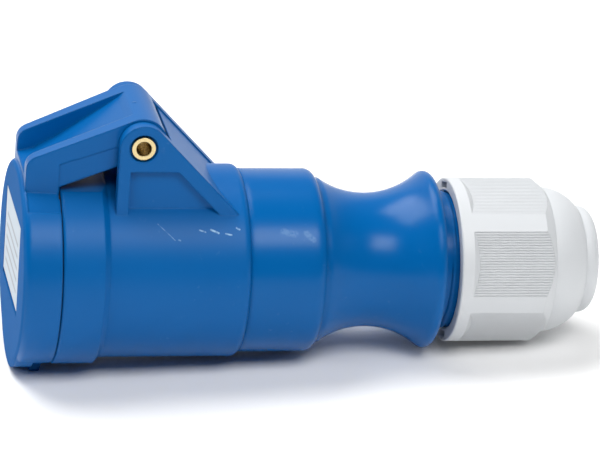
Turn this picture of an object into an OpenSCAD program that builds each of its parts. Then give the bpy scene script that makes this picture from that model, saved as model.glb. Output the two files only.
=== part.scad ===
/* [Collar and front housing] */
// outside diameter of the collar round the socket mouth
collar_d = 57; // [50:0.5:64]
// length of the collar band
collar_len = 11.3; // [8:0.1:16]
// length of the sloped step from the collar down to the body
collar_step = 1.7; // [0.5:0.1:4]
// outside diameter of the front housing behind the collar
body_d = 53.6; // [48:0.1:60]
// distance from the mouth to the rear end of the front housing
body_len = 51.7; // [45:0.1:60]
// radius of the rounded rear edge of the front housing
body_round = 2; // [0.5:0.1:2.4]
// inside diameter of the socket space
socket_d = 48.4; // [44:0.1:50]
// depth of the ring space that takes the plug's shroud
socket_depth = 36; // [25:0.5:38]
// thickness of the ledge that the contact carrier is pushed against
ledge_t = 2; // [1:0.1:3]
// width of the main keyway in the wall at the bottom of the mouth
keyway_w = 6.4; // [4:0.1:9]
// depth of the main keyway below the wall of the socket space
keyway_h = 1.4; // [0.8:0.1:1.6]
// height above the axis of the flat on top of the collar, under the lid arm
collar_flat_z = 25.6; // [25:0.1:28]
// width of that flat
collar_flat_w = 25; // [15:0.5:27]

/* [Hinge] */
// distance of the hinge axis behind the mouth
hinge_x = 21.2; // [18:0.1:26]
// height of the hinge axis above the coupler's axis
hinge_z = 40; // [36:0.1:44]
// width over the two ears
ears_w = 34; // [28:0.5:40]
// thickness of an ear
ear_t = 3.5; // [2.5:0.1:5]
// radius of the round end of an ear
ear_r = 6.4; // [5.5:0.1:8]
// slope of the rear edge of the ears, in degrees down from level
ear_slope = 46; // [35:1:60]
// depth of the pocket in the outside face of an ear
ear_pocket = 1.8; // [0.5:0.1:2.2]
// height of the pocket's top edge
ear_pocket_z = 33.2; // [28:0.1:34]
// width of the rim left in front of the pocket
ear_rim_front = 3.3; // [2:0.1:5]
// width of the rim left along the slope
ear_rim_rear = 3.9; // [2:0.1:6]
// thickness of the web between the ears
web_t = 3; // [2:0.1:4]
// depth of the web's outside below the edges of the ears
web_drop = 0.4; // [0:0.1:1]
// slit between the web's top edge and the lid's barrel
web_slit = 1.2; // [0.6:0.1:2]
// outside diameter of the tubular hinge pin
pin_d = 6.4; // [5:0.1:7]
// bore of the hinge pin
pin_bore_d = 4.2; // [3:0.1:5]
// diameter of the shallow ring cut round each pin end
pin_ring_d = 7.8; // [7:0.1:9]
// depth of that ring cut
pin_ring_h = 1.2; // [0.5:0.1:2]

/* [Lid] */
// how much smaller the lid is than the collar, in diameter
lid_less = 0.2; // [0:0.1:1]
// depth of the lid from its face to the mouth plane
lid_depth = 10.7; // [8:0.1:14]
// gap between the lid's rim and the collar
lid_gap = 0.3; // [0.2:0.05:1]
// radius round the edge of the lid's face
lid_round = 2.1; // [1:0.1:5]
// thickness of the lid's face and skirt
lid_t = 2.2; // [1.6:0.1:3]
// depth of the shallow recess in the rim under the arm
lid_recess = 0.4; // [0.2:0.05:0.8]
// half the angle of that recess, from the top
lid_recess_angle = 39.5; // [30:0.5:50]
// half width of the arm at the lid's face
arm_front = 11.9; // [8:0.1:13]
// half width of the arm at the barrel
arm_rear = 13.2; // [10:0.1:13.4]
// width of each of the two ribs along the arm
arm_rib = 4; // [2:0.1:6]
// thickness of the arm's sides
arm_t = 2.6; // [1.6:0.1:4]
// slope of the arm's top, in degrees
arm_slope = 23.2; // [15:0.1:30]
// radius of the rounded front end of the arm's ribs
arm_nose_r = 4; // [1:0.1:5]
// depth of the step in the arm's sides, above the lid's rim
arm_step = 0.3; // [0:0.05:0.6]
// radius of the barrel round the hinge pin
barrel_r = 7; // [6.2:0.1:7.4]
// width of the label
label_w = 30.5; // [20:0.5:36]
// height of the label
label_h = 24.5; // [15:0.5:28]
// height of the label's centre above the axis
label_z = 3.6; // [-2:0.1:6]
// thickness of the label
label_t = 0.35; // [0.1:0.05:0.6]
// height of the slot under the label, for lifting it out
label_slot = 1.4; // [0.3:0.1:3]
// distance of the thumb lip's lowest point below the axis
lip_z = 30.3; // [29:0.1:33]
// radius of the thumb lip
lip_r = 22; // [15:0.5:26]
// length of the thumb lip along the axis
lip_len = 5.2; // [3:0.1:6]
// height of the flat foot of the lip's tab below the axis
tab_z = 30.2; // [29:0.1:32]
// half width of that tab
tab_w = 7.6; // [5:0.1:10]

/* [Handle] */
// outside diameter of the handle where it leaves the front housing
handle_d = 51.2; // [46:0.1:53]
// distance of the waist's middle from the mouth
waist_x = 88.6; // [80:0.1:95]
// diameter of the waist at its narrowest
waist_d = 37.6; // [34:0.1:42]
// radius of the hollow curve of the waist, along the handle
waist_r = 24.3; // [18:0.1:32]
// radius of the rounded shoulder in front of the waist
shoulder_r = 2.5; // [1:0.1:4]
// diameter of the bell behind the waist
bell_d = 49.9; // [44:0.1:52]
// radius of the bell's rounded rim
bell_round = 1.8; // [1:0.1:3]
// outside diameter of the threaded stub that the nut runs on
stub_d = 37.8; // [34:0.1:38.2]
// wall thickness of the handle
handle_t = 2.6; // [2:0.1:4]

/* [Gland] */
// distance of the nut's front face from the mouth
nut_x = 111.7; // [109.5:0.1:114]
// thickness of the nut's barrel round the thread
nut_t = 3.85; // [2.5:0.05:6]
// depth of the six flat panels in the barrel, at their middle
panel_h = 1.76; // [0.6:0.02:2.2]
// half the width of a panel
panel_w = 9.2; // [6:0.1:9.4]
// distance of a panel's start behind the nut's front face
panel_start = 3.45; // [1.5:0.05:8]
// number of fine grooves along each panel, for grip
panel_grooves = 25; // [9:1:31]
// depth of those grooves
groove_h = 0.25; // [0.1:0.05:0.4]
// angle of the first panel above level on the side seen in the photograph
nut_turn = 19.9; // [0:0.1:60]
// length of the nut's barrel, before its sloped end
nut_barrel = 24.6; // [20:0.1:30]
// length of the sloped end of the barrel
nut_slope = 2.8; // [1:0.1:4]
// how much smaller the dome's root is than the barrel, in diameter
dome_less = 5.2; // [3:0.1:8]
// radius of the dome's curve, along the axis
dome_r = 13; // [10:0.1:16]
// distance of the dome's start behind the nut's front face
dome_start = 27.3; // [25:0.1:32]
// diameter of the lip at the cable end
lip_d = 30.2; // [24:0.1:34]
// whole length of the nut
nut_len = 42.1; // [38:0.1:50]
// diameter of the cable opening in the nut
cable_hole_d = 19; // [12:0.1:22]
// thickness of the clamping cage's fingers
cage_t = 4; // [2:0.1:5]
// length of the slits between the fingers, inside the stub
cage_slit = 5; // [2:0.1:12]
// bore of the rubber seal, for the cable
seal_bore_d = 13; // [6:0.1:16]

/* [Contacts] */
// outside diameter of the carrier's front
carrier_d = 38.4; // [34:0.1:39.4]
// distance of the carrier's face behind the mouth
carrier_x = 0; // [0:0.1:4]
// diameter of the circle that the three contacts stand on
contact_pcd = 19; // [16:0.1:22]
// bore of the live and neutral sleeves, for 5 mm pins
sleeve_bore = 5.1; // [4.8:0.02:5.3]
// bore of the earth sleeve, for a 6 mm pin
earth_bore = 6.1; // [5.8:0.02:6.3]
// wall thickness of a sleeve
sleeve_t = 1; // [0.6:0.1:1.2]
// diameter of a terminal screw
term_screw_d = 3.8; // [3:0.1:4]
// diameter of the two screws that hold the carrier plate
plate_screw_d = 2.5; // [2:0.1:3]
// radius of the plate's holes for the wires
wire_hole_r = 2.6; // [1.5:0.1:3]

/* [Hidden] */
$fn = 96;
fit = 0.05;
run = 0.06;
collar_r = collar_d / 2;
body_r = body_d / 2;
socket_r = socket_d / 2;
carrier_r = carrier_d / 2;
ledge_end = socket_depth + ledge_t;
flange_end = ledge_end + 4;
carrier_end = flange_end + 8;
plate_end = carrier_end + 2;
ear_out = ears_w / 2;
ear_in = ear_out - ear_t;
pin_r = pin_d / 2;
slope_n = [sin(ear_slope), cos(ear_slope)];
slope_d = [cos(ear_slope), -sin(ear_slope)];
foot_z = 18;
foot_run = (hinge_z - foot_z + ear_r * slope_n[1]) / sin(ear_slope);
foot_x = hinge_x + ear_r * slope_n[0] + foot_run * slope_d[0];
web_gap_r = barrel_r + web_slit;
web_out = ear_r - web_drop;
web_in = web_out - web_t;
coil_r = 4.6;
wire_r = 0.5;
coil_pitch = 0.95;
leg_y = 4 * coil_pitch;
arm_leg_slope = 12;
arm_leg = 1.02 * hinge_x;
body_leg = hinge_z - sqrt(body_r * body_r - leg_y * leg_y) + 1.2;
lid_d = collar_d - lid_less;
lid_r = lid_d / 2;
lid_back = -lid_gap;
arm_foot_z = lid_r - 1.5;
arm_root_z = lid_r - 3.4;
lid_face = -lid_depth;
lid_in_r = lid_r - 3.8;
seat_r = lid_r - 1.1;
seat_x = -2.2;
arm_top_x = hinge_x - barrel_r * sin(arm_slope);
arm_top_z = hinge_z + barrel_r * cos(arm_slope);
arm_nose = lid_face + 1.1;
valley_w = arm_front - arm_rib + 0.5;
nose_x = arm_nose + arm_nose_r;
nose_z = arm_top_z - (arm_top_x - nose_x) * tan(arm_slope) - arm_nose_r / cos(arm_slope);
seal_x = flange_end + 0.43 * (body_len - flange_end);
round_x = body_len - sqrt(pow(body_round, 2) - pow(handle_d / 2 - body_r + body_round, 2));
handle_r = handle_d / 2;
waist_c = waist_d / 2 + waist_r;
shoulder_c = handle_r - shoulder_r;
shoulder_x = waist_x - sqrt(pow(waist_r + shoulder_r, 2) - pow(waist_c - shoulder_c, 2));
shoulder_f = waist_r / (waist_r + shoulder_r);
bell_c = bell_d / 2 - bell_round;
bell_x = waist_x + sqrt(pow(waist_r + bell_round, 2) - pow(waist_c - bell_c, 2));
bell_f = waist_r / (waist_r + bell_round);
bell_end = bell_x + bell_round;
stub_x = nut_x - 2.84;
spigot_r = socket_r - 0.1;
spigot_in = spigot_r - 2.2;
stub_r = stub_d / 2;
stub_in = stub_r - 3.3;
stub_end = stub_x + 19;
waist_in = waist_d / 2 - handle_t;
ring_c = spigot_r - 0.67;
nut_in = stub_r + 0.35;
nut_r = nut_in + nut_t;
panel_r = nut_r - panel_h;
dome_d = 2 * nut_r - dome_less;
nut_end = nut_x + nut_len;
barrel_end = nut_x + nut_barrel;
dome_x = nut_x + dome_start;
dome_c = dome_d / 2 - dome_r;
lip_round = 3.2;
lip_rr = lip_d / 2;
thrust_x = stub_end + 5.4;
thrust_in = stub_r - 6.9;
cage_in = stub_in - cage_t;
notch_r = nut_in + 0.85;
notch_h = 1.7;
notch_w = 6;
notch_l = 1.6;
groove_pitch = 2 * panel_w / panel_grooves;
groove_w = 0.5 * groove_pitch;
plate_screw_r = carrier_r - 3.2;
contact_r = contact_pcd / 2;
block_r = 4.5;
block_x = 30;
screw_x = flange_end + 4;
sleeve_x = carrier_x + 3;
blue = [0.02, 0.38, 0.66];
grey = [0.84, 0.85, 0.86];
black = [0.08, 0.08, 0.09];
brass = [0.78, 0.66, 0.40];
steel = [0.72, 0.73, 0.75];

// half width of the arm at x
function arm_side(x) =
    arm_front + (arm_rear - arm_front) * (x - arm_nose) / (hinge_x - barrel_r - arm_nose);

// turns a profile drawn as [radius, distance behind the mouth] round the axis
module turned() {
    rotate([0, 90, 0]) rotate_extrude() children();
}

// gives a side view drawn as [x, z] a width, from y0 to y1
module across(y0, y1) {
    translate([0, y1, 0]) rotate([90, 0, 0]) linear_extrude(y1 - y0) children();
}

// gives a plan drawn as [x, y] a height, from z0 to z1
module upward(z0, z1) {
    translate([0, 0, z0]) linear_extrude(z1 - z0) children();
}

// a rod along the axis, at y and z
module rod(y, z, x0, x1, r) {
    translate([x0, y, z]) rotate([0, 90, 0]) cylinder(h = x1 - x0, r = r);
}

// a rod across the part, on the hinge axis
module hinge_rod(y0, y1, r) {
    translate([hinge_x, y1, hinge_z]) rotate([90, 0, 0]) cylinder(h = y1 - y0, r = r);
}

// the ear's outline, drawn as [x, z]
module ear_shape() {
    translate([hinge_x, hinge_z]) circle(r = ear_r);
    polygon([
        [hinge_x - ear_r, foot_z],
        [hinge_x - ear_r, hinge_z],
        [hinge_x, hinge_z],
        [hinge_x + ear_r * slope_n[0], hinge_z + ear_r * slope_n[1]],
        [foot_x, foot_z]
    ]);
}

// the pocket in the ear's outside face, drawn as [x, z]
module ear_pocket_shape() {
    rear_c = (ear_r - ear_rim_rear) / slope_n[0];
    polygon([
        [hinge_x - ear_r + ear_rim_front, foot_z - 1],
        [hinge_x - ear_r + ear_rim_front, ear_pocket_z],
        [hinge_x + rear_c + (hinge_z - ear_pocket_z) / tan(ear_slope), ear_pocket_z],
        [hinge_x + rear_c + (hinge_z - foot_z + 1) / tan(ear_slope), foot_z - 1]
    ]);
}

module ear() {
    difference() {
        across(ear_in, ear_out) ear_shape();
        across(ear_out - ear_pocket, ear_out + 1) ear_pocket_shape();
    }
}

// the web that closes the space behind the lid's barrel
module web() {
    difference() {
        across(-ear_in - 0.5, ear_in + 0.5) polygon([
            [hinge_x + web_out * slope_n[0], hinge_z + web_out * slope_n[1]],
            [foot_x - web_drop / slope_n[0], foot_z],
            [foot_x - (web_drop + web_t) / slope_n[0], foot_z],
            [hinge_x + web_in * slope_n[0], hinge_z + web_in * slope_n[1]]
        ]);
        hinge_rod(-ear_in, ear_in, web_gap_r);
    }
}

module front_housing() {
    color(blue) difference() {
        union() {
            turned() {
                polygon([
                    [0, 0], [collar_r - 0.5, 0], [collar_r, 0.5], [collar_r, collar_len],
                    [body_r, collar_len + collar_step], [body_r, round_x],
                    [handle_r, body_len], [0, body_len]
                ]);
                intersection() {
                    translate([body_r - body_round, round_x]) circle(r = body_round);
                    translate([0, round_x]) square([body_r, body_len - round_x]);
                }
            }
            ear();
            mirror([0, 1, 0]) ear();
            web();
        }
        turned() polygon([
            [0, -1], [socket_r + 1.6, -1], [socket_r, 0.6], [socket_r, socket_depth],
            [carrier_r + 0.2, socket_depth], [carrier_r + 0.2, ledge_end],
            [socket_r, ledge_end], [socket_r, body_len + 1], [0, body_len + 1]
        ]);
        translate([-1, -keyway_w / 2, -socket_r - keyway_h])
            cube([socket_depth + 1, keyway_w, keyway_h + 2]);
        translate([-1, -collar_flat_w / 2, collar_flat_z])
            cube([collar_len + collar_step + 1, collar_flat_w, collar_r]);
        translate([hinge_x - coil_r - 0.02, leg_y, hinge_z - body_leg - 0.2])
            cylinder(h = body_leg, r = wire_r + 0.1);
        hinge_rod(-ear_out - 1, ear_out + 1, pin_r + fit / 2);
        hinge_rod(ear_out - pin_ring_h, ear_out + 1, pin_ring_d / 2);
        hinge_rod(-ear_out - 1, -ear_out + pin_ring_h, pin_ring_d / 2);
    }
}

// one contact's place: live at 30 degrees, neutral at 150, earth at the bottom
module at_contact(angle) {
    rotate([angle - 90, 0, 0]) translate([0, 0, contact_r]) children();
}

// the room that the carrier leaves for one contact, its screw and the pin
module contact_room(bore) {
    rod(0, 0, carrier_x - 1, sleeve_x + 1, bore / 2 + 0.4);
    rod(0, 0, sleeve_x, carrier_end + 1, bore / 2 + sleeve_t + fit);
    rod(0, 0, block_x - 0.1, carrier_end + 1, block_r + fit);
    translate([screw_x, 0, 0]) cylinder(h = 20, r = term_screw_d / 2 + 0.5);
}

module contact_carrier() {
    color(black) difference() {
        turned() polygon([
            [0, carrier_x], [carrier_r - 0.8, carrier_x], [carrier_r, carrier_x + 0.8],
            [carrier_r, ledge_end + 0.05], [socket_r - 0.15, ledge_end + 0.05],
            [socket_r - 0.15, flange_end], [spigot_in - 0.6, flange_end],
            [spigot_in - 0.6, carrier_end], [0, carrier_end]
        ]);
        at_contact(30) contact_room(sleeve_bore);
        at_contact(150) contact_room(sleeve_bore);
        at_contact(270) contact_room(earth_bore);
        for (a = [210, 330]) at_carrier_screw(a)
            rod(0, 0, carrier_end - 8, carrier_end + 1, plate_screw_d / 2 + fit);
    }
}

// the place of one of the two screws behind the carrier
module at_carrier_screw(angle) {
    rotate([angle - 90, 0, 0]) translate([0, 0, plate_screw_r]) children();
}

module carrier_plate() {
    color(black) difference() {
        turned() polygon([
            [0, carrier_end], [spigot_in - 1.2, carrier_end],
            [spigot_in - 1.2, plate_end], [0, plate_end]
        ]);
        for (a = [30, 150, 270]) at_contact(a)
            rod(0, 0, carrier_end - 1, plate_end + 1, wire_hole_r);
        for (a = [210, 330]) at_carrier_screw(a)
            rod(0, 0, carrier_end - 1, plate_end + 1, plate_screw_d / 2 + 0.15);
    }
}

// a screw along the axis with a slotted round head
module carrier_screw(angle) {
    color(steel) at_carrier_screw(angle) difference() {
        union() {
            rod(0, 0, carrier_end - 7.5, plate_end + 0.1, plate_screw_d / 2);
            rod(0, 0, plate_end, plate_end + 1.6, 2.4);
        }
        translate([plate_end + 0.9, -3, -0.3]) cube([2, 6, 0.6]);
    }
}

module carrier_screw_near() carrier_screw(330);
module carrier_screw_far() carrier_screw(210);

// a split sleeve in front and a terminal block behind, in one piece
module contact(angle, bore) {
    color(brass) at_contact(angle) difference() {
        union() {
            rod(0, 0, sleeve_x + 0.1, block_x + 0.5, bore / 2 + sleeve_t);
            rod(0, 0, block_x, carrier_end - 0.5, block_r);
        }
        rod(0, 0, sleeve_x, block_x - 3, bore / 2);
        translate([sleeve_x - 1, -0.3, -5]) cube([16, 0.6, 10]);
        rod(0, 0, block_x + 6, carrier_end + 1, 2.1);
        translate([screw_x, 0, 0]) cylinder(h = 8, r = term_screw_d / 2 + fit);
    }
}

module contact_live() contact(30, sleeve_bore);
module contact_neutral() contact(150, sleeve_bore);
module contact_earth() contact(270, earth_bore);

// a slotted clamp screw that presses the wire in its terminal block
module terminal_screw(angle) {
    color(steel) at_contact(angle) translate([screw_x, 0, 0]) difference() {
        translate([0, 0, 1.2]) cylinder(h = 6.6, r = term_screw_d / 2);
        translate([-3, -0.3, 7]) cube([6, 0.6, 2]);
    }
}

module terminal_screw_live() terminal_screw(30);
module terminal_screw_neutral() terminal_screw(150);
module terminal_screw_earth() terminal_screw(270);

// the handle's outside, with its waist and bell, drawn as [radius, x]
module handle_outside() {
    difference() {
        translate([0, body_len]) square([handle_r, waist_x - body_len + 10]);
        translate([waist_c, waist_x]) circle(r = waist_r);
        translate([shoulder_c, shoulder_x])
            square([shoulder_r + 1, waist_x - shoulder_x]);
    }
    polygon([
        [0, shoulder_x], [shoulder_c, shoulder_x],
        [waist_c - (waist_c - shoulder_c) * shoulder_f,
            waist_x - (waist_x - shoulder_x) * shoulder_f],
        [0, waist_x - (waist_x - shoulder_x) * shoulder_f]
    ]);
    translate([shoulder_c, shoulder_x]) circle(r = shoulder_r);
    bell_t = waist_x + (bell_x - waist_x) * bell_f;
    difference() {
        translate([0, waist_x + 5]) square([bell_c + bell_round, bell_t - waist_x - 5]);
        translate([waist_c, waist_x]) circle(r = waist_r);
    }
    polygon([
        [0, bell_t], [waist_c - (waist_c - bell_c) * bell_f, bell_t],
        [bell_c, bell_x], [bell_c, bell_end], [0, bell_end]
    ]);
    translate([bell_c, bell_x]) circle(r = bell_round);
}

module handle() {
    color(blue) turned() difference() {
        union() {
            handle_outside();
            translate([0, flange_end + 0.1]) square([spigot_r, body_len - flange_end]);
            polygon([
                [0, bell_end - 1], [stub_r, bell_end - 1], [stub_r, stub_x + 0.9],
                [stub_r + 0.5, stub_x + 1.3], [stub_r + 0.5, stub_x + 1.7],
                [stub_r, stub_x + 2.1], [stub_r, stub_end - 1], [stub_r - 1, stub_end],
                [0, stub_end]
            ]);
        }
        polygon([
            [-1, flange_end - 1], [spigot_in, flange_end - 1], [spigot_in, body_len + 1],
            [handle_r - handle_t, body_len + 3], [handle_r - handle_t, shoulder_x - 2],
            [waist_in, waist_x - 4.6], [waist_in, stub_x - 5], [stub_in - 3, stub_x - 3],
            [stub_in - 3, stub_x], [stub_in, stub_x], [stub_in, stub_end + 1],
            [-1, stub_end + 1]
        ]);
        translate([spigot_r - 1.4, seal_x - 1.2]) square([2, 2.4]);
    }
}

module handle_seal() {
    color(black) turned() translate([ring_c, seal_x]) circle(r = 0.72);
}

// the lid's cup, without its arm
module lid_cup() {
    turned() {
        polygon([
            [0, lid_face], [lid_r - lid_round, lid_face],
            [lid_r - lid_round, lid_face + lid_round], [lid_r, lid_face + lid_round],
            [lid_r, lid_back], [0, lid_back]
        ]);
        translate([lid_r - lid_round, lid_face + lid_round]) circle(r = lid_round);
    }
}

// the arm from the lid up to its barrel, drawn as [x, z]
module arm_shape() {
    translate([hinge_x, hinge_z]) circle(r = barrel_r);
    translate([nose_x, nose_z]) circle(r = arm_nose_r);
    polygon([
        [arm_nose, arm_root_z], [arm_nose, nose_z],
        [nose_x - arm_nose_r * sin(arm_slope), nose_z + arm_nose_r * cos(arm_slope)],
        [arm_top_x, arm_top_z], [hinge_x, hinge_z], [hinge_x - 4, hinge_z - 6.4 + 0.6],
        [lid_back, arm_foot_z], [lid_back, arm_root_z]
    ]);
}

// the part of the arm's sides that stands back, drawn as [x, z]
module arm_step_shape() {
    polygon([
        [lid_back - 0.3, hinge_z - 20], [lid_back - 0.3, hinge_z - 6.5],
        [hinge_x - 7.6, hinge_z - 1.4], [hinge_x + 1, hinge_z + 1.3],
        [hinge_x + 1, hinge_z - 20]
    ]);
}

// the hollow between the two ribs, drawn as [x, z]
module valley_shape() {
    polygon([
        [lid_face - 2, lid_r + 0.6], [lid_face + 2, lid_r + 0.8],
        [lid_face + 5.5, lid_r + 1.7], [hinge_x - 20.4, hinge_z - 6.4],
        [hinge_x - 13.9, hinge_z - 1.9], [hinge_x - 7.3, hinge_z + 2.6],
        [hinge_x - 4, hinge_z + 5], [hinge_x - 1.6, hinge_z + 7.2],
        [hinge_x - 1.6, hinge_z + 12], [lid_face - 2, hinge_z + 12]
    ]);
}

// the hollow under the arm, drawn as [x, z]
module arm_hollow_shape() {
    polygon([
        [hinge_x - 18.2, lid_r - 4.4], [hinge_x - 18.2, hinge_z - 7.4],
        [hinge_x - 8.2, hinge_z - 3], [hinge_x - 8.2, lid_r - 4.4]
    ]);
}

// the slot in the barrel that the leg on the housing sweeps through, drawn as [x, z]
module leg_slot_shape() {
    polygon([
        [hinge_x - coil_r - 1.2, 24], [hinge_x - coil_r - 1.2, hinge_z],
        [hinge_x, hinge_z + 1], [hinge_x + barrel_r + 1, hinge_z + 3],
        [hinge_x + barrel_r + 1, 24]
    ]);
}

// the spring's leg along the arm, with some room round it
module arm_leg(room) {
    translate([hinge_x, -leg_y, hinge_z]) rotate([0, -90 - arm_leg_slope, 0])
        translate([-coil_r - 0.02, 0, -room]) cylinder(h = arm_leg + 2 * room, r = wire_r + room);
}

module lid() {
    color(blue) difference() {
        union() {
            difference() {
                lid_cup();
                rotate([0, 90, 0])
                    rotate_extrude(start = 180 - lid_recess_angle, angle = 2 * lid_recess_angle)
                        translate([lid_r - lid_recess, lid_face + 1.5])
                            square([2, lid_depth - 1]);
            }
            intersection() {
                across(-arm_rear, arm_rear) arm_shape();
                upward(20, 52) polygon([
                    [arm_nose - 1, -arm_front], [arm_nose, -arm_front],
                    [hinge_x - barrel_r, -arm_rear], [hinge_x + barrel_r + 1, -arm_rear],
                    [hinge_x + barrel_r + 1, arm_rear], [hinge_x - barrel_r, arm_rear],
                    [arm_nose, arm_front], [arm_nose - 1, arm_front]
                ]);
            }
            translate([lid_face + 0.3, 0, -(lip_z - lip_r)]) rotate([0, 90, 0])
                cylinder(h = lip_len, r = lip_r);
            across(-tab_w, tab_w) polygon([
                [lid_face + 5, -lid_r + 2.4], [lid_face + 5.6, -tab_z],
                [lid_face + 8.2, -tab_z], [lid_face + 9.4, -lid_r + 2.4]
            ]);
        }
        turned() polygon([
            [0, lid_face + lid_t], [lid_in_r, lid_face + lid_t], [lid_in_r, seat_x],
            [seat_r, seat_x], [seat_r, 0], [0, 0]
        ]);
        across(-valley_w, valley_w) valley_shape();
        across(-arm_front + arm_t, arm_front - arm_t) arm_hollow_shape();
        arm_leg(0.1);
        across(leg_y - 0.8, leg_y + 0.8) leg_slot_shape();
        for (side = [-1, 1]) intersection() {
            across(-arm_rear - 1, arm_rear + 1) arm_step_shape();
            upward(20, 52) polygon([
                [-1, side * (arm_side(-1) - arm_step)], [-1, side * (arm_rear + 2)],
                [hinge_x + 2, side * (arm_rear + 2)], [hinge_x + 2, side * (arm_rear - arm_step)],
                [hinge_x - barrel_r, side * (arm_rear - arm_step)]
            ]);
        }
        hinge_rod(-5, 5, 5.7);
        hinge_rod(-arm_rear - 1, arm_rear + 1, pin_r + run);
        translate([lid_face - 1, -label_w / 2 - 0.3, label_z - label_h / 2 - label_slot])
            cube([1.4, label_w + 0.6, label_h + label_slot + 0.3]);
    }
}

module lid_gasket() {
    color(black) turned() polygon([
        [lid_in_r + 0.2, seat_x], [seat_r, seat_x], [seat_r, 0], [lid_in_r + 0.2, 0]
    ]);
}

module lid_label() {
    color([0.93, 0.93, 0.92])
        translate([lid_face + 0.4 - label_t, -label_w / 2, label_z - label_h / 2])
            cube([label_t, label_w, label_h]);
}

module hinge_pin() {
    color(brass) difference() {
        hinge_rod(-ear_out, ear_out, pin_r);
        hinge_rod(-ear_out - 1, ear_out + 1, pin_bore_d / 2);
    }
}

// rings stand for the coil; one leg holds the arm down, the other stands in the housing
module lid_spring() {
    color(steel) {
        translate([hinge_x, 0, hinge_z]) rotate([90, 0, 0]) rotate_extrude()
            for (i = [-4:4]) translate([coil_r, i * coil_pitch]) circle(r = wire_r);
        arm_leg(-0.04);
        translate([hinge_x - coil_r - 0.02, leg_y, hinge_z - body_leg])
            cylinder(h = body_leg, r = wire_r - 0.04);
    }
}

// a panel's flat with its fine grooves, as the shape that is cut away, drawn as [y, z]
module panel_shape() {
    polygon([
        for (i = [0:panel_grooves - 1]) each [
            [-panel_w + i * groove_pitch, panel_r],
            [-panel_w + (i + 0.5) * groove_pitch - groove_w / 2, panel_r],
            [-panel_w + (i + 0.5) * groove_pitch, panel_r - groove_h],
            [-panel_w + (i + 0.5) * groove_pitch + groove_w / 2, panel_r]
        ],
        [panel_w, panel_r], [panel_w, panel_r + 5], [-panel_w, panel_r + 5]
    ]);
}

module gland_nut() {
    color(grey) difference() {
        turned() difference() {
            union() {
                polygon([
                    [0, nut_x], [nut_r - 0.3, nut_x], [nut_r, nut_x + 0.3],
                    [nut_r, barrel_end], [dome_d / 2 + 0.3, barrel_end + nut_slope],
                    [dome_d / 2 - 0.1, barrel_end + nut_slope + 0.3], [dome_c, dome_x],
                    [dome_c, nut_end], [0, nut_end]
                ]);
                intersection() {
                    translate([dome_c, dome_x]) circle(r = dome_r);
                    translate([0, dome_x - 1]) square([40, 14]);
                }
                translate([0, dome_x + 6])
                    square([lip_rr, nut_len - dome_start - 6 - lip_round]);
                translate([0, nut_end - lip_round - 1])
                    square([lip_rr - lip_round, lip_round + 1]);
                translate([lip_rr - lip_round, nut_end - lip_round]) circle(r = lip_round);
            }
            polygon([
                [-1, nut_x - 1], [nut_in + 1.5, nut_x - 1], [nut_in, nut_x + 0.5],
                [nut_in, stub_end + 2], [stub_r - 1.1, stub_end + 3.2],
                [stub_r - 1.1, thrust_x + 3.1], [stub_r - 2.9, thrust_x + 3.1],
                [cable_hole_d / 2 + 1.5, nut_end - 6], [cable_hole_d / 2, nut_end - 4.5],
                [cable_hole_d / 2, nut_end - 1.2], [cable_hole_d / 2 + 2.2, nut_end + 1],
                [-1, nut_end + 1]
            ]);
        }
        intersection() {
            turned() polygon([
                [nut_r + 1, nut_x + panel_start - 1], [nut_r, nut_x + panel_start],
                [panel_r - 0.5, nut_x + panel_start + 2.2], [panel_r - 0.5, barrel_end + 4],
                [nut_r + 2, barrel_end + 4]
            ]);
            for (i = [0:5])
                rotate([90 - nut_turn + 60 * i, 0, 0]) rotate([90, 0, 90])
                    translate([0, 0, nut_x]) linear_extrude(nut_len) panel_shape();
        }
        for (i = [0, 1])
            rotate([180 * i - nut_turn, 0, 0])
                translate([nut_x - 1, -notch_w / 2, notch_r]) cube([notch_l + 1, notch_w, notch_h]);
    }
}

module thrust_ring() {
    color(grey) turned() polygon([
        [thrust_in, thrust_x + 0.4], [thrust_in + 1.4, thrust_x], [stub_r - 1.2, thrust_x],
        [stub_r - 1.2, thrust_x + 3], [thrust_in, thrust_x + 3]
    ]);
}

// a ring with six springy fingers round the rubber seal
module clamping_cage() {
    color(black) difference() {
        turned() polygon([
            [cage_in, stub_x + 0.1], [stub_in - 0.1, stub_x + 0.1],
            [stub_in - 0.1, stub_end], [stub_in - 2, thrust_x - 0.4],
            [cage_in, thrust_x - 0.4]
        ]);
        for (i = [0:5])
            rotate([60 * i, 0, 0]) translate([stub_end - cage_slit, -0.6, seal_bore_d / 2])
                cube([thrust_x - stub_end + cage_slit, 1.2, stub_r]);
    }
}

module gland_seal() {
    color(black) turned() polygon([
        [seal_bore_d / 2 + 1, stub_x + 0.5], [cage_in - 0.1, stub_x + 0.5],
        [cage_in - 0.1, thrust_x - 1], [seal_bore_d / 2 + 1.5, thrust_x - 1],
        [seal_bore_d / 2, thrust_x - 2.5], [seal_bore_d / 2, stub_x + 1.5]
    ]);
}

front_housing();
contact_carrier();
carrier_plate();
carrier_screw_near();
carrier_screw_far();
contact_live();
contact_neutral();
contact_earth();
terminal_screw_live();
terminal_screw_neutral();
terminal_screw_earth();
handle();
handle_seal();
lid();
lid_gasket();
lid_label();
hinge_pin();
lid_spring();
gland_nut();
thrust_ring();
clamping_cage();
gland_seal();
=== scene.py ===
import math

import bmesh
import bpy
from mathutils import Matrix, Vector


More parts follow.
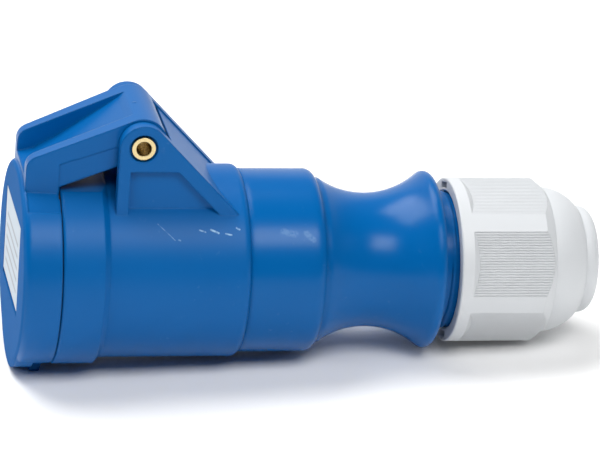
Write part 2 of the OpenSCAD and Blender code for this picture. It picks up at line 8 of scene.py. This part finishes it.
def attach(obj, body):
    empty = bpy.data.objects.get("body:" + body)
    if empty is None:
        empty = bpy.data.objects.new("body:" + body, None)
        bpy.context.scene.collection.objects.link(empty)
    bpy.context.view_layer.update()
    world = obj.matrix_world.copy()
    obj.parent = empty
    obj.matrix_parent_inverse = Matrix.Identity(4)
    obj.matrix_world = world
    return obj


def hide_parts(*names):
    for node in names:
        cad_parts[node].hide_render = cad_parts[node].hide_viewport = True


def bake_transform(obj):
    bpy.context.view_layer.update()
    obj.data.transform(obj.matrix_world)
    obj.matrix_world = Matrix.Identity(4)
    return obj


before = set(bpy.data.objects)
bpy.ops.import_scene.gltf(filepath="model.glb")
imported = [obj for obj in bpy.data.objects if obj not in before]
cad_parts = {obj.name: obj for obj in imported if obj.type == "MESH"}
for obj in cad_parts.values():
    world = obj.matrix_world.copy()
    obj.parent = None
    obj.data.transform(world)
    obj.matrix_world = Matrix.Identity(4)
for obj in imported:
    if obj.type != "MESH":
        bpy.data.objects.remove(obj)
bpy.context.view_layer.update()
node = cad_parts

# ---- The view ----
# A long lens looks at the coupler from above its near side, turned a little towards
# the lid. The floor is plain and pale, and soft lights stand above and in front.
look_down = math.radians(23.4)
look_round = math.radians(11.8)
camera_distance = 1.0
lens_mm = 214.5
look_at = Vector((0.0705, 0, 0))
raise_view = 0.0096
right = Vector((
    math.cos(look_round),
    -math.sin(look_round) * math.cos(look_down),
    math.sin(look_round) * math.sin(look_down),
))
up = Vector((0, math.sin(look_down), math.cos(look_down)))
back = right.cross(up)
target = look_at + raise_view * up

camera = bpy.data.objects.new("camera", bpy.data.cameras.new("camera"))
bpy.context.scene.collection.objects.link(camera)
camera.data.sensor_width = 36
camera.data.lens = lens_mm
camera.data.dof.use_dof = False
turn = Matrix((right, up, back)).transposed()
camera.matrix_world = Matrix.Translation(target + camera_distance * back) @ turn.to_4x4()
bpy.context.scene.camera = camera
bpy.context.scene.view_settings.view_transform = "Standard"

# the coupler lies on the lid's tab and on the bell of its handle
tab_foot = Vector((-0.004, 0, -0.03025))
bell_foot = Vector((0.1054, 0, -0.02495))
floor_size = 3
lie = math.atan2(bell_foot.z - tab_foot.z, bell_foot.x - tab_foot.x)
floor_mesh = bpy.data.meshes.new("floor")
floor_mesh.from_pydata(
    [(a * floor_size, b * floor_size, 0) for a, b in ((-1, -1), (1, -1), (1, 1), (-1, 1))],
    [], [(0, 1, 2, 3)],
)
floor = bpy.data.objects.new("floor", floor_mesh)
bpy.context.scene.collection.objects.link(floor)
floor.matrix_world = Matrix.Translation(tab_foot) @ Matrix.Rotation(-lie, 4, "Y")


class Signal:
    """One output among shader nodes; sums and products of signals add the Math nodes."""

    def __init__(self, tree, socket):
        self.tree, self.socket = tree, socket

    def node(self, kind, settings, values, output=0):
        made = self.tree.nodes.new(kind)
        for name, setting in settings.items():
            setattr(made, name, setting)
        for name, value in values.items():
            if isinstance(value, Signal):
                self.tree.links.new(value.socket, made.inputs[name])
            else:
                made.inputs[name].default_value = value
        return Signal(self.tree, made.outputs[output])

    def math(self, operation, *values):
        return self.node("ShaderNodeMath", {"operation": operation}, dict(enumerate(values)))

    def __add__(self, other):
        return self.math("ADD", self, other)

    def __sub__(self, other):
        return self.math("SUBTRACT", self, other)

    def __rsub__(self, other):
        return self.math("SUBTRACT", other, self)

    def __mul__(self, other):
        return self.math("MULTIPLY", self, other)

    def __truediv__(self, other):
        return self.math("DIVIDE", self, other)

    def __rtruediv__(self, other):
        return self.math("DIVIDE", other, self)

    __radd__, __rmul__ = __add__, __mul__

    def axes(self):
        """The x, y and z of a place."""
        return [self.node("ShaderNodeSeparateXYZ", {}, {0: self}, i) for i in range(3)]

    def noise(self, size, detail=3, stretch=(1, 1, 1)):
        """Cloudy noise over a place, its blotches of about this size in metres."""
        spread = self.node(
            "ShaderNodeVectorMath", {"operation": "MULTIPLY"}, {0: self, 1: stretch})
        return spread.node(
            "ShaderNodeTexNoise", {}, {"Vector": spread, "Scale": 1 / size, "Detail": detail})

    def step(self, low, high):
        """Goes from 0 where this signal is low to 1 where it is high."""
        return self.node(
            "ShaderNodeMapRange", {"interpolation_type": "SMOOTHSTEP"},
            {"Value": self, "From Min": low, "From Max": high})

    def mix(self, low, high):
        """Goes from one colour to another as this signal goes from 0 to 1."""
        return self.node("ShaderNodeMix", {"data_type": "RGBA"}, {0: self, 6: low, 7: high}, 2)


def material(name):
    """A new material: its shader, and the place on the piece in metres."""
    made = bpy.data.materials.new(name)
    made.use_nodes = True
    tree = made.node_tree
    shader = tree.nodes["Principled BSDF"]
    where = Signal(tree, tree.nodes.new("ShaderNodeTexCoord").outputs["Object"])
    return made, shader, where


def feed(shader, **values):
    """Sets a shader's sockets, or links them where the value varies."""
    for name, value in values.items():
        socket = shader.inputs[name.replace("_", " ")]
        if isinstance(value, Signal):
            value.tree.links.new(value.socket, socket)
        else:
            socket.default_value = value


floor_finish, shader, where = material("pale_floor")
pale, paler = (0.93, 0.93, 0.93, 1), (0.95, 0.95, 0.95, 1)
feed(shader, Base_Color=where.noise(0.05).mix(pale, paler), Roughness=0.8)
floor.data.materials.append(floor_finish)

middle = Vector((0.07, 0, 0))


def soft_light(name, place, width, height, watts):
    """A rectangular lamp that faces the middle of the coupler."""
    lamp = bpy.data.lights.new(name, "AREA")
    lamp.shape, lamp.size, lamp.size_y, lamp.energy = "RECTANGLE", width, height, watts
    holder = bpy.data.objects.new(name, lamp)
    bpy.context.scene.collection.objects.link(holder)
    facing = (Vector(place) - middle).to_track_quat("Z", "Y")
    holder.matrix_world = Matrix.Translation(place) @ facing.to_matrix().to_4x4()
    return holder


soft_light("top_light", (-0.3, 0.35, 1.0), 0.9, 0.7, 15)
soft_light("front_light", (0.22, -0.82, 1.05), 0.65, 0.5, 10)
lid_light = soft_light("lid_light", (-0.85, -0.65, 0.75), 0.4, 0.45, 3)
end_light = soft_light("end_light", (1.15, -0.4, 0.7), 0.45, 0.6, 2.5)
# two of the lights only fill, so that one highlight shows on the waist
lid_light.visible_glossy = end_light.visible_glossy = False

# the studio is dim in front of the coupler, and a white board stands low behind it
world = bpy.data.worlds.new("studio")
world.use_nodes = True
studio = world.node_tree.nodes
around = Signal(world.node_tree, studio.new("ShaderNodeTexCoord").outputs["Generated"])
seen = Signal(world.node_tree, studio.new("ShaderNodeLightPath").outputs["Is Camera Ray"])
x, y, z = around.axes()
behind = 0.04 + 0.86 * y.step(-0.3, 0.8)
board = 1 - 0.7 * z.step(0.4, 0.6)
white = (1, 1, 1, 1)
feed(studio["Background"], Color=white, Strength=seen.math("MAXIMUM", seen, behind * board))
bpy.context.scene.world = world

# ---- Front housing ----
# The socket body is one moulding of blue nylon, with the collar round its mouth, two
# hinge ears on top and a web between them. Use has scuffed its near side.


def colour(red, green, blue):
    """A colour given as it looks on a screen, each part from 0 to 255."""
    return tuple((part / 255) ** 2.2 for part in (red, green, blue)) + (1,)


def worn_edge(where, height, depth, edge):
    """A bumpy surface whose sharp edges catch the light as rounded ones do."""
    rounded = where.node("ShaderNodeBevel", {"samples": 6}, {"Radius": edge})
    return where.node(
        "ShaderNodeBump", {}, {"Height": height, "Distance": depth, "Normal": rounded})


def dress(name, finish):
    """Gives a piece from the CAD its one finish."""
    node[name].data.materials.clear()
    node[name].data.materials.append(finish)


def line_mask(where, start, end, radius, width):
    """A mask for one thin line on a round piece, between ends given as (x, angle).

    The angle is in degrees, up from the near side.
    """
    x, y, z = where.axes()
    round_way = z.math("ARCTAN2", z, 0 - y) * radius
    foot = (start[0], math.radians(start[1]) * radius)
    run = (end[0] - start[0], math.radians(end[1] - start[1]) * radius)
    length = math.hypot(*run)
    along = ((x - foot[0]) * run[0] + (round_way - foot[1]) * run[1]) / length ** 2
    along = along.node("ShaderNodeClamp", {}, {0: along})
    off_x = x - foot[0] - along * run[0]
    off_round = round_way - foot[1] - along * run[1]
    square = off_x * off_x + off_round * off_round
    far = square.math("SQRT", square)
    return 1 - far.step(width * 0.3, width)


scuff_and_sheen_radius = 0.0268
matt_fade = 0.0004
gate_edge = (0.0003, 0.0007)
gate_height = 30
satin_depth = 0.00001
nylon_blue = (colour(0, 86, 149), colour(0, 91, 156))
# the pale of real scuffs on the housing, and of streaks of painted highlight on the handle
scuff_and_sheen_pale = colour(150, 185, 215)


def blue_nylon(name, roughness, soft_edge, scuffs_and_sheen=(), gate=None, matt_below=-1):
    """Dyed nylon from a satin mould.

    Each scuff is (start, end, width, strength); on the handle they are painted highlight.
    soft_edge is the radius that sharp edges seem to have. The gate is where the plastic
    came in, and it leaves a pip. What lies further towards the mouth than matt_below is
    """
    made, shader, where = material(name)
    cloud = where.noise(0.02)
    grain = where.noise(0.00045, 4)
    worn = where.noise(0.0016, 5).step(0.62, 0.74) * where.noise(0.014).step(0.5, 0.7)
    rubbed_and_sheen = worn * 0.07
    # pale lines: real scuffs on the housing, painted highlight on the handle
    for start, end, width, strength in scuffs_and_sheen:
        broken = where.noise(0.0009, 4).step(0.3, 0.62)
        rubbed_and_sheen = rubbed_and_sheen + line_mask(where, start, end, scuff_and_sheen_radius, width) * broken * strength
    rubbed_and_sheen = rubbed_and_sheen.node("ShaderNodeClamp", {}, {0: rubbed_and_sheen})
    matt = 1 - where.axes()[0].step(matt_below, matt_below + matt_fade)
    relief = grain
    if gate:
        away = where.node(
            "ShaderNodeVectorMath", {"operation": "DISTANCE"}, {0: where, 1: gate}, 1)
        relief = grain + gate_height * (1 - away.step(*gate_edge))
    dyed = cloud.mix(*nylon_blue)
    feed(
        shader,
        Base_Color=rubbed_and_sheen.mix(dyed, scuff_and_sheen_pale),
        Roughness=roughness + grain * 0.07 + rubbed_and_sheen * 0.3 + matt * 0.5,
        Specular_IOR_Level=0.15,
        Normal=worn_edge(where, relief, satin_depth, soft_edge),
    )
    return made


moulded_edge = 0.0008
housing_scuffs = [
    ((0.0260, 45), (0.0306, 35), 0.00016, 0.45),
    ((0.0316, 35.3), (0.0320, 35), 0.0003, 0.4),
    ((0.0374, 41.2), (0.0390, 40), 0.0003, 0.9),
    ((0.0406, 41.4), (0.0426, 39.4), 0.0004, 1.0),
    ((0.0446, 39), (0.0462, 38.2), 0.00032, 0.9),
    ((0.0477, 42.6), (0.0484, 41.6), 0.0004, 0.8),
]
dress("front_housing", blue_nylon("blue_nylon_housing", 0.36, moulded_edge, housing_scuffs))

# ---- Hinge pin ----
# A tube of drawn brass, pushed through both ears. Its ends lie flush with them, with a
# shallow ring cut round each, and have dulled with handling.
made, shader, where = material("drawn_brass")
dull = where.noise(0.0011, 4)
feed(
    shader,
    Base_Color=dull.mix(colour(192, 170, 120), colour(222, 204, 158)),
    Metallic=1.0,
    Roughness=0.2 + dull * 0.16,
    Normal=worn_edge(where, where.noise(0.0002), 0.000008, 0.0002),
)
dress("hinge_pin", made)

# ---- Contact carrier ----
# A black moulding holds the three contacts, and a plate screwed on behind keeps them
# in. It stands in the socket and shows only with the lid open.


def black_moulding(name, roughness, shade):
    made, shader, where = material(name)
    dusty = where.noise(0.004, 4).step(0.4, 0.75)
    grain = where.noise(0.0004)
    feed(
        shader,
        Base_Color=dusty.mix(colour(*shade), colour(*(part + 12 for part in shade))),
        Roughness=roughness + dusty * 0.12,
        Normal=worn_edge(where, grain, 0.00002, 0.0003),
    )
    return made


carrier_black = black_moulding("carrier_black", 0.4, (28, 29, 31))
dress("contact_carrier", carrier_black)
dress("carrier_plate", carrier_black)

# ---- Contacts ----
# Each is turned from brass, with a slit sleeve in front and a terminal block behind.
# Slotted steel screws clamp the wires, and two more hold the plate.
made, shader, where = material("contact_brass")
turned = where.noise(0.0006, 3, (6, 1, 1))
feed(
    shader,
    Base_Color=turned.mix(colour(200, 168, 96), colour(226, 196, 128)),
    Metallic=1.0,
    Roughness=0.22 + turned * 0.14,
    Normal=worn_edge(where, turned, 0.000006, 0.0002),
)
for name in ("contact_live", "contact_neutral", "contact_earth"):
    dress(name, made)

plated_steel, shader, where = material("plated_steel")
plate = where.noise(0.0008)
feed(
    shader,
    Base_Color=plate.mix(colour(176, 178, 182), colour(205, 206, 208)),
    Metallic=1.0,
    Roughness=0.26 + plate * 0.16,
    Normal=worn_edge(where, plate, 0.000005, 0.00015),
)
for name in (
    "terminal_screw_live", "terminal_screw_neutral", "terminal_screw_earth",
    "carrier_screw_near", "carrier_screw_far",
):
    dress(name, plated_steel)

# ---- Handle ----
# The second blue moulding pushes into the front housing. It narrows to a waist, swells
# to a bell and ends in a stub, with a thread of 3 mm pitch for the gland nut.
# painted highlight: two soft pale streaks on the handle's upper near side, where the front
# light's highlight falls; they are not wear
handle_painted_sheen = [
    ((0.0610, 41), (0.0640, 39.5), 0.0014, 0.2),
    ((0.0672, 40), (0.0690, 36), 0.0012, 0.25),
]
shoulder_edge = 0.0025
handle_blue = blue_nylon("blue_nylon_handle", 0.21, shoulder_edge, handle_painted_sheen)
dress("handle", handle_blue)
dress("handle_seal", black_moulding("seal_rubber", 0.6, (24, 24, 26)))

# the thread runs out over a sixth of a turn at each end
thread_start, thread_end = 0.1079, 0.1262
thread_pitch = 0.003
root_radius = 0.0186
crest_height = 0.00058
thread_profile = ((-0.0009, 0), (-0.0003, crest_height), (0.0003, crest_height), (0.0009, 0))
turn_steps = 72
fade_steps = turn_steps / 6
thread_steps = turn_steps * round((thread_end - thread_start) / thread_pitch)
thread = bmesh.new()
corners = []
for i in range(thread_steps + 1):
    angle = 2 * math.pi * i / turn_steps
    along = thread_start + thread_pitch * i / turn_steps
    fade_in = min(1, i / fade_steps, (thread_steps - i) / fade_steps)
    ring = []
    for off, height in thread_profile:
        radius = root_radius + height * fade_in
        corner = (along + off, radius * math.sin(angle), radius * math.cos(angle))
        ring.append(thread.verts.new(corner))
    corners.append(ring)
for first, second in zip(corners, corners[1:]):
    for k in range(4):
        nearby = (k + 1) % 4
        thread.faces.new((first[k], first[nearby], second[nearby], second[k]))
thread.faces.new(tuple(reversed(corners[0])))
thread.faces.new(tuple(corners[-1]))
bmesh.ops.recalc_face_normals(thread, faces=thread.faces)
thread_mesh = bpy.data.meshes.new("stub_thread")
thread.to_mesh(thread_mesh)
thread.free()
stub_thread = bpy.data.objects.new("stub_thread", thread_mesh)
bpy.context.scene.collection.objects.link(stub_thread)
stub_thread.data.materials.append(handle_blue)
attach(stub_thread, "coupler")

# ---- Gland ----
# A rubber seal and a cage of springy fingers grip the cable when the nut is turned up.
# A loose grey ring inside the nut presses on the fingers.
dress("gland_seal", black_moulding("gland_rubber", 0.65, (30, 30, 31)))
dress("clamping_cage", black_moulding("cage_black", 0.45, (34, 34, 36)))


def grey_nylon(name):
    made, shader, where = material(name)
    cloud = where.noise(0.012)
    grain = where.noise(0.0005, 4)
    feed(
        shader,
        Base_Color=cloud.mix(colour(195, 198, 201), colour(201, 204, 207)),
        Roughness=0.42 + grain * 0.1,
        Normal=worn_edge(where, grain, 0.00003, 0.0004),
    )
    return made


dress("gland_nut", grey_nylon("grey_nylon_nut"))
dress("thrust_ring", grey_nylon("grey_nylon_ring"))

# ---- Lid ----
# The third blue moulding is the sprung lid, in one piece with its arm, its barrel and
# the lip that a thumb lifts it by. A dark rubber gasket lines it.
barrel_gate = (0.0205, -0.0004, 0.047)
matt_face = -0.0104
dress("lid", blue_nylon(
    "blue_nylon_lid", 0.3, moulded_edge, gate=barrel_gate, matt_below=matt_face))
dress("lid_gasket", black_moulding("gasket_rubber", 0.6, (40, 41, 43)))

# ---- Label ----
# A white sticker in a shallow recess of the lid's face. It is left without words, with
# grey bars where a rating plate has its lines.
made, shader, where = material("printed_label")
y, z = where.axes()[1:]
lowest_row = -0.006
bar_pitch = 0.0034
bar_rows = 5
bar_reach = 0.0118
bar_ink = colour(128, 133, 142)
bar_strength = 0.85
row = (z - lowest_row) / bar_pitch
within = row - row.math("FLOOR", row)
bars = within.step(0.3, 0.34) * (1 - within.step(0.62, 0.66))
bars = bars * (1 - y.math("ABSOLUTE", y).step(bar_reach, bar_reach + 0.0001))
bars = bars * row.step(0, 0.01) * (1 - row.step(bar_rows - 0.01, bar_rows))
aged = where.noise(0.006)
paper = aged.mix(colour(164, 178, 190), colour(176, 188, 198))
feed(
    shader,
    Base_Color=(bars * bar_strength).mix(paper, bar_ink),
    Roughness=0.4 + aged * 0.1,
    Normal=worn_edge(where, where.noise(0.0003), 0.00001, 0.0001),
)
dress("lid_label", made)

# ---- Lid spring ----
# Spring wire wound round the pin inside the barrel. One leg reaches along the arm to
# press the lid shut, and the other stands in the housing between the ears.
hinge = Vector((0.0212, 0, 0.04))
coil_radius = 0.0046
wire_radius = 0.0005
coil_reach = 0.0038
coil_turns = 8


def tube(name, path, radius, sides=10):
    """A closed round wire along a path of points."""
    mesh = bmesh.new()
    rings = []
    across = None
    for i, point in enumerate(path):
        ahead = (path[min(i + 1, len(path) - 1)] - path[max(i - 1, 0)]).normalized()
        if across is None:
            across = ahead.orthogonal()
        across = (across - ahead * across.dot(ahead)).normalized()
        other = ahead.cross(across)
        ring = []
        for k in range(sides):
            angle = 2 * math.pi * k / sides
            offset = across * math.cos(angle) + other * math.sin(angle)
            ring.append(mesh.verts.new(point + radius * offset))
        rings.append(ring)
    for first, second in zip(rings, rings[1:]):
        for k in range(sides):
            nearby = (k + 1) % sides
            mesh.faces.new((first[k], first[nearby], second[nearby], second[k]))
    mesh.faces.new(tuple(reversed(rings[0])))
    mesh.faces.new(tuple(rings[-1]))
    for face in mesh.faces:
        face.smooth = len(face.verts) == 4
    bmesh.ops.recalc_face_normals(mesh, faces=mesh.faces)
    data = bpy.data.meshes.new(name)
    mesh.to_mesh(data)
    mesh.free()
    made = bpy.data.objects.new(name, data)
    bpy.context.scene.collection.objects.link(made)
    return made


def on_coil(angle, y):
    """A point on the coil; the angle turns from the cable end up over the top."""
    spot = math.radians(angle)
    return hinge + Vector((coil_radius * math.cos(spot), y, coil_radius * math.sin(spot)))


arm_leg_angle = -78
body_leg_angle = -180
arm_leg_length = 0.0216
body_leg_length = 0.0146
leg_slope = math.radians(arm_leg_angle)
arm_leg = arm_leg_length * Vector((math.sin(leg_slope), 0, -math.cos(leg_slope)))
body_leg = Vector((0, 0, -body_leg_length))
sweep = (body_leg_angle - arm_leg_angle) % 360 + 360 * (coil_turns - 1)
coil_steps = 40 * coil_turns
arm_leg_steps, body_leg_steps = 6, 5
path = [
    on_coil(arm_leg_angle, -coil_reach) + arm_leg * (1 - i / arm_leg_steps)
    for i in range(arm_leg_steps)
]
path += [
    on_coil(arm_leg_angle + sweep * i / coil_steps, coil_reach * (2 * i / coil_steps - 1))
    for i in range(coil_steps + 1)
]
path += [
    on_coil(body_leg_angle, coil_reach) + body_leg * (i + 1) / body_leg_steps
    for i in range(body_leg_steps)
]
spring = tube("spring_wire", path, wire_radius)
spring.data.materials.append(plated_steel)
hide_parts("lid_spring")
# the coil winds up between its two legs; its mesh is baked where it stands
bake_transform(spring)
